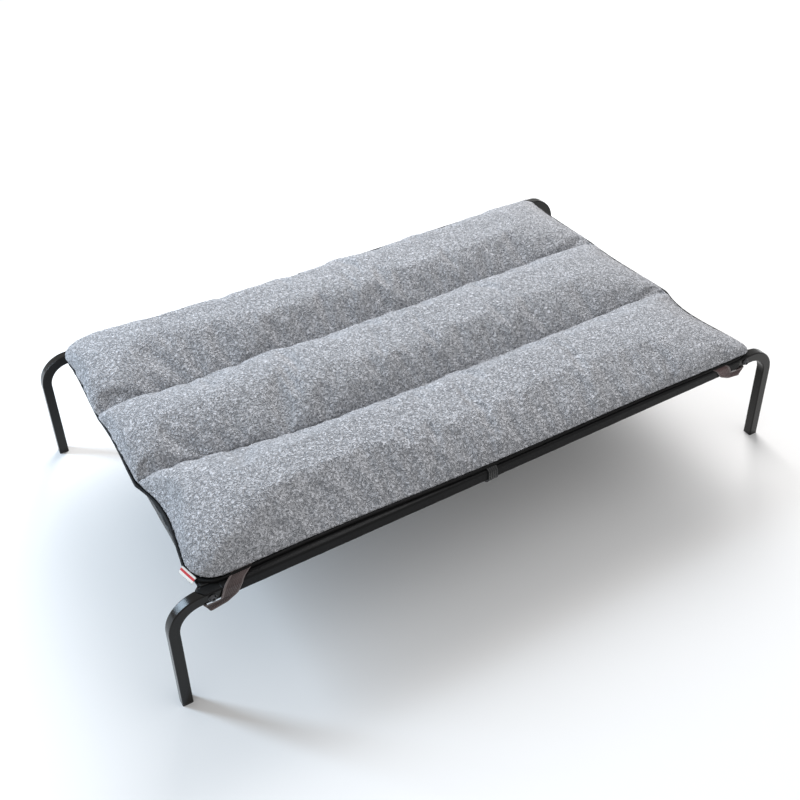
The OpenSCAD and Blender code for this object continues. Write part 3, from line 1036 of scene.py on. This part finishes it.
class BED_OT_tag(bpy.types.Operator):
    """Make the small folded tag in the pad's side seam"""
    bl_idname = "bed.tag"
    bl_label = "Side tag"

    def execute(self, context):
        settings = context.scene.bed_strap
        low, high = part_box("side_tag")
        piping_low, piping_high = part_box("pad_piping")
        width = settings.tag_width
        run = high.y - low.y
        seam_x = piping_low.x + 4.6 * MM
        top = piping_high.z + 1.0 * MM

        def fold(u, v):
            """A loop of tape: out from the seam over the piping, round the fold and back below."""
            out = 1 - abs(2 * u - 1)
            layer = 0.35 * MM if u < 0.5 else -0.35 * MM
            slant = 8.0 * MM * (1 - v)
            droop = 5.5 * MM * out * out + 0.5 * MM * math.sin(v * 4.0) * out
            y = low.y - 6.0 * MM + run * v - 3.0 * MM * out
            z = top + layer * min(1.0, 6 * (1 - out)) - droop
            return Vector((seam_x + slant - width * out, y, z))

        tag = strip("pad_side_tag", 24, 40, fold, 2 * width, run)
        thicken(tag, 0.35 * MM)
        finish_mesh(tag)
        declare(tag, ("side_tag",), tag_material(settings, width))
        return {"FINISHED"}


# ---- Stitching ----

class BED_OT_stitches(bpy.types.Operator):
    """Make the rows of stitches that close the deck's sleeves"""
    bl_idname = "bed.stitches"
    bl_label = "Stitching"

    def execute(self, context):
        deck = context.scene.bed_deck
        low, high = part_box("deck_panel")
        margin, inner_row, outer_row = 20 * MM, 9 * MM, 6 * MM
        half = Vector((deck.stitch / 2, 0.32 * MM, 0.3 * MM))
        under = (low.z + high.z) / 2 - deck.cloth / 2
        pitch = deck.stitch * 1.35
        deselect_all()
        bpy.ops.mesh.primitive_uv_sphere_add(segments=6, ring_count=4, radius=1.0)
        stitching = named("deck_stitching")
        for vertex in stitching.data.vertices:
            vertex.co = vertex.co * half + Vector((low.x + margin, 0.0, under))
        apply_modifier(stitching, "ARRAY", count=int((high.x - low.x - 2 * margin) / pitch),
                       use_relative_offset=False, use_constant_offset=True,
                       constant_offset_displace=(pitch, 0.0, 0.0))
        rows = []
        for y in (inner_row - high.y, high.y - outer_row, high.y - inner_row):
            make_active(stitching)
            bpy.ops.object.duplicate()
            row = bpy.context.object
            for vertex in row.data.vertices:
                vertex.co.y += y
            rows.append(row)
        for vertex in stitching.data.vertices:
            vertex.co.y -= high.y - outer_row
        make_active(stitching)
        for row in rows:
            row.select_set(True)
        bpy.ops.object.join()
        finish_mesh(stitching)
        thread, _ = new_material("thread", 0.7, Base_Color=rgba((0.02, 0.02, 0.021)),
                                 Sheen_Weight=0.3)
        declare(stitching, (), thread)
        return {"FINISHED"}


# ---- Frame finishes, stage and run ----

class BED_OT_frame(bpy.types.Operator):
    """Give the steel frame, its fasteners and its feet their finishes"""
    bl_idname = "bed.frame"
    bl_label = "Frame finishes"

    def execute(self, context):
        settings = context.scene.bed_frame
        finishes = {
            "frame_coat": coat_material(settings),
            "joiner_steel": metal_material("joiner_steel", (0.34, 0.34, 0.34), 0.42, 180.0),
            "foot_plastic": plastic_material(),
            "zinc": metal_material("zinc", settings.zinc, 0.28, 420.0),
        }
        for part in frame["record"]["subparts"]:
            surface = finishes.get(part["material_slot"])
            if surface:
                for place in frame["nodes"][part["node"]].material_slots:
                    place.material = surface
        return {"FINISHED"}


class BED_OT_stage(bpy.types.Operator):
    """Lay the floor and set up the lights and the camera"""
    bl_idname = "bed.stage"
    bl_label = "Floor, lights and camera"

    def execute(self, context):
        stage = context.scene.bed_stage
        deselect_all()
        bpy.ops.mesh.primitive_plane_add(size=30.0)
        floor = named("floor")
        paper, _ = new_material("floor_paper", 0.9, Base_Color=rgba(stage.floor),
                                Specular_IOR_Level=0.1)
        floor.data.materials.append(paper)
        world = bpy.data.worlds.new("room")
        world.use_nodes = True
        background = world.node_tree.nodes["Background"]
        background.inputs["Color"].default_value = (1.0, 1.0, 1.0, 1.0)
        background.inputs["Strength"].default_value = stage.room
        context.scene.world = world
        for name, (place, size, tint) in LIGHTS.items():
            self.light(name, place, size, getattr(stage, name), tint)
        context.scene.view_settings.view_transform = "Standard"
        turn = tuple(math.radians(angle) for angle in CAMERA_TURN)
        bpy.ops.object.camera_add(location=CAMERA_PLACE, rotation=turn)
        camera = context.object
        camera.data.lens = CAMERA_LENS
        camera.data.sensor_width = CAMERA_SENSOR
        context.scene.camera = camera
        return {"FINISHED"}

    def light(self, name, place, size, energy, tint):
        """A soft rectangular light that looks at the bed."""
        turn = (LIT_PLACE - Vector(place)).to_track_quat("-Z", "Y").to_euler()
        bpy.ops.object.light_add(type="AREA", location=place, rotation=turn)
        lamp = bpy.context.object
        lamp.name = name
        lamp.data.shape = "RECTANGLE"
        lamp.data.size, lamp.data.size_y = size
        lamp.data.energy = energy
        lamp.data.color = tint


class BED_PT_panel(bpy.types.Panel):
    """Lists the bed's pieces"""
    bl_idname = "BED_PT_panel"
    bl_label = "Dog Bed"
    bl_space_type = "VIEW_3D"
    bl_region_type = "UI"
    bl_category = "Dog Bed"

    def draw(self, context):
        for operator in OPERATORS:
            self.layout.operator(operator.bl_idname)
        for name in SETTINGS:
            box = self.layout.box()
            settings = getattr(context.scene, name)
            for key in settings.bl_rna.properties.keys():
                if key not in ("rna_type", "name"):
                    box.prop(settings, key)


SETTINGS = {
    "bed_pad": BedPadSettings,
    "bed_deck": BedDeckSettings,
    "bed_strap": BedStrapSettings,
    "bed_frame": BedFrameSettings,
    "bed_stage": BedStageSettings,
}
OPERATORS = (BED_OT_stage, BED_OT_frame, BED_OT_deck, BED_OT_pad_base, BED_OT_pad, BED_OT_straps,
             BED_OT_tag, BED_OT_stitches)


def register():
    for kind in (*SETTINGS.values(), *OPERATORS, BED_PT_panel):
        bpy.utils.register_class(kind)
    for name, kind in SETTINGS.items():
        setattr(bpy.types.Scene, name, PointerProperty(type=kind))


def unregister():
    for name in SETTINGS:
        delattr(bpy.types.Scene, name)
    for kind in (BED_PT_panel, *reversed(OPERATORS), *reversed(SETTINGS.values())):
        bpy.utils.unregister_class(kind)


def main():
    register()
    bpy.ops.bed.stage()
    bpy.ops.bed.frame()
    bpy.ops.bed.deck()
    bpy.ops.bed.pad_base()
    bpy.ops.bed.pad()
    bpy.ops.bed.straps()
    bpy.ops.bed.tag()
    bpy.ops.bed.stitches()


if __name__ == "__main__":
    main()
